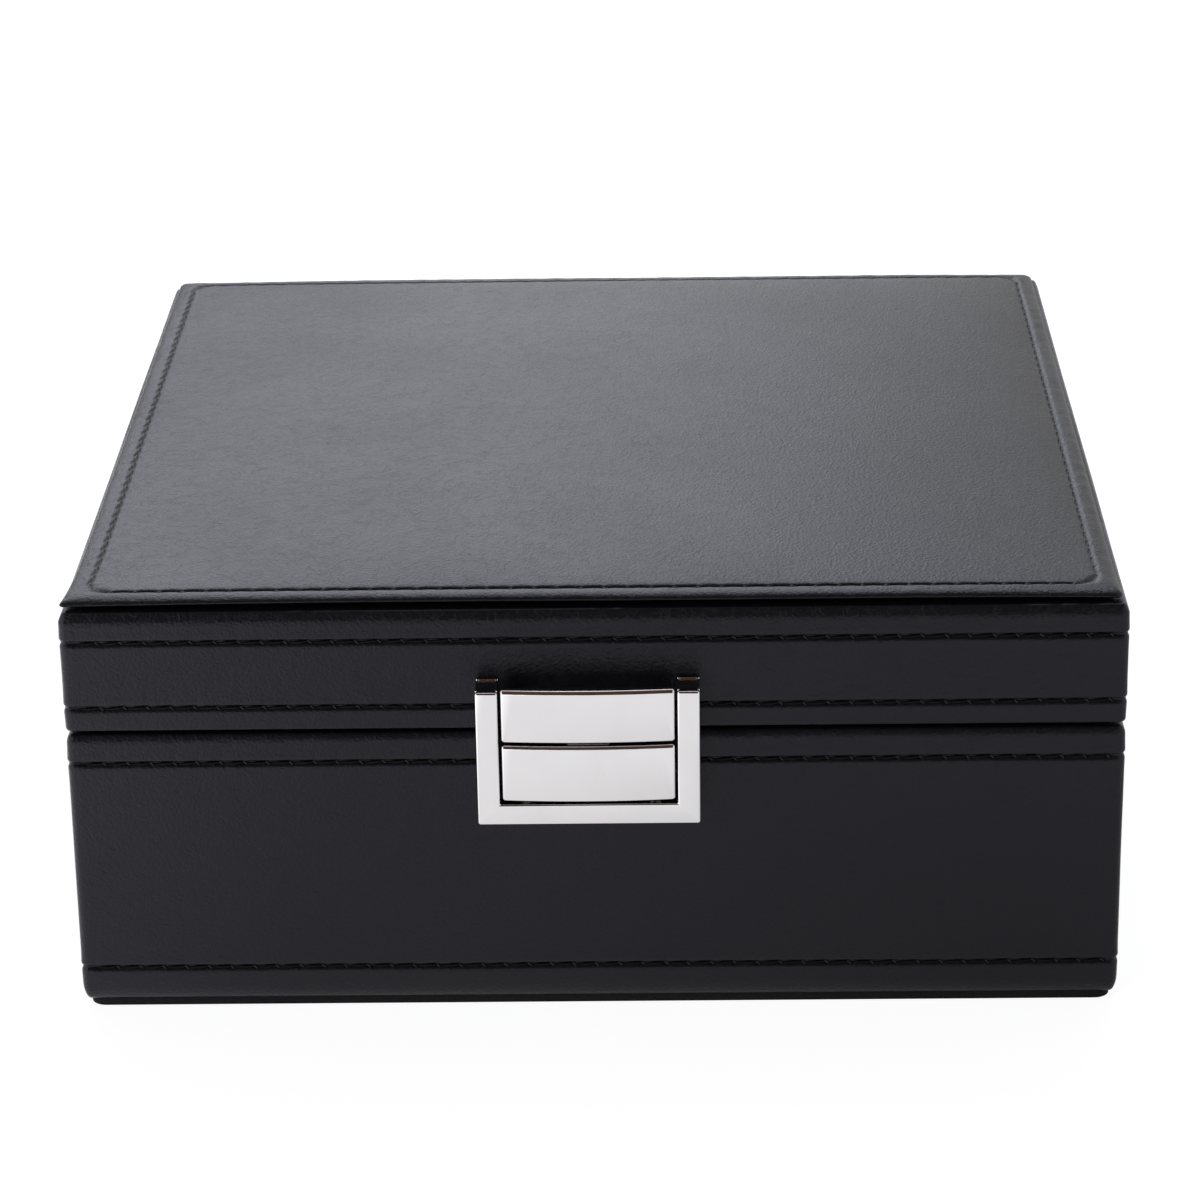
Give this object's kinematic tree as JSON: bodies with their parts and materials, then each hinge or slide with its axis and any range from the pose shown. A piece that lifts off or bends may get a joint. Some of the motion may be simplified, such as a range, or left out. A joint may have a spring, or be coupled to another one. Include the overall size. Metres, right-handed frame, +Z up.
{
  "type": "jewellery box",
  "caption": "Square leather-covered jewellery box with a padded hinged lid, a mirror inside the lid, a chromed press clasp and a lift-out velvet tray with ring rolls.",
  "frame": {"origin": "middle of the underside, on the surface that the box stands on", "axes": "+Z up, -Y towards the clasp, +X to the right of a person facing the clasp"},
  "size_m": [0.2, 0.2117, 0.0876],
  "materials": {
    "black_leather": "black imitation leather, fine pebble grain, soft sheen",
    "black_card": "matt black card",
    "chromed_zinc": "polished chrome plate on cast zinc",
    "spring_steel": "bright spring strip",
    "plated_steel": "nickel-plated steel",
    "mirror_glass": "silvered glass",
    "foam": "soft foam",
    "ribbon": "woven satin ribbon",
    "velvet_roll": "velvet over a foam roll",
    "velvet": "velvet glued on card",
    "grey_card": "grey card",
    "fibreboard": "raw fibreboard"
  },
  "bodies": {
    "base": {"base_back_panel": "fibreboard", "base_floor_board": "fibreboard", "base_floor_lining": "velvet", "base_front_panel": "fibreboard", "base_leather_wrap": "black_leather", "base_left_panel": "fibreboard", "base_lining": "velvet", "base_right_panel": "fibreboard", "catch_plate": "plated_steel", "catch_screws": "plated_steel", "catch_spring": "spring_steel", "clasp_frame": "chromed_zinc", "clasp_frame_screws": "plated_steel", "hinge_base_leaf_left": "plated_steel", "hinge_base_leaf_right": "plated_steel", "hinge_base_screws": "plated_steel", "hinge_pins": "plated_steel", "lower_divider_left": "velvet", "lower_divider_long": "velvet", "lower_divider_right": "velvet", "tray_ledge_left": "velvet", "tray_ledge_right": "velvet", "underside_cover": "black_card"},
    "lid": {"clasp_strike": "chromed_zinc", "hinge_lid_leaf_left": "plated_steel", "hinge_lid_leaf_right": "plated_steel", "hinge_lid_screws": "plated_steel", "lid_back_rail": "fibreboard", "lid_front_rail": "fibreboard", "lid_leather_wrap": "black_leather", "lid_left_rail": "fibreboard", "lid_lining": "velvet", "lid_pad_board": "grey_card", "lid_pad_cover": "black_leather", "lid_pad_foam": "foam", "lid_right_rail": "fibreboard", "lid_top_board": "fibreboard", "mirror_backing": "grey_card", "mirror_glass": "mirror_glass", "mirror_surround": "velvet", "strike_screws": "plated_steel"},
    "button": {"clasp_button": "chromed_zinc"},
    "tray": {"ring_roll_1": "velvet_roll", "ring_roll_2": "velvet_roll", "ring_roll_3": "velvet_roll", "ring_roll_4": "velvet_roll", "ring_roll_5": "velvet_roll", "ring_roll_6": "velvet_roll", "ring_roll_7": "velvet_roll", "tray_back_wall": "velvet", "tray_divider_back": "velvet", "tray_divider_middle": "velvet", "tray_divider_rear": "velvet", "tray_divider_right": "velvet", "tray_floor": "velvet", "tray_front_wall": "velvet", "tray_left_wall": "velvet", "tray_pull_left": "ribbon", "tray_pull_right": "ribbon", "tray_right_wall": "velvet"}
  },
  "joints": [
    {"name": "lid_hinge", "type": "hinge", "parent": "base", "child": "lid", "pos_m": [0, 0.1023, 0.0581], "axis": [-1, 0, 0], "range_deg": [0, 95], "deforming": ["catch_spring"]},
    {"name": "clasp_button_press", "type": "slide", "parent": "base", "child": "button", "axis": [0, 1, 0], "range_m": [0, 0.0016], "stiffness_N_per_m": 800, "springref_m": -0.0005, "deforming": ["catch_spring"]},
    {"name": "tray_lift", "type": "slide", "parent": "base", "child": "tray", "axis": [0, 0, 1], "range_m": [0, 0.01]}
  ]
}
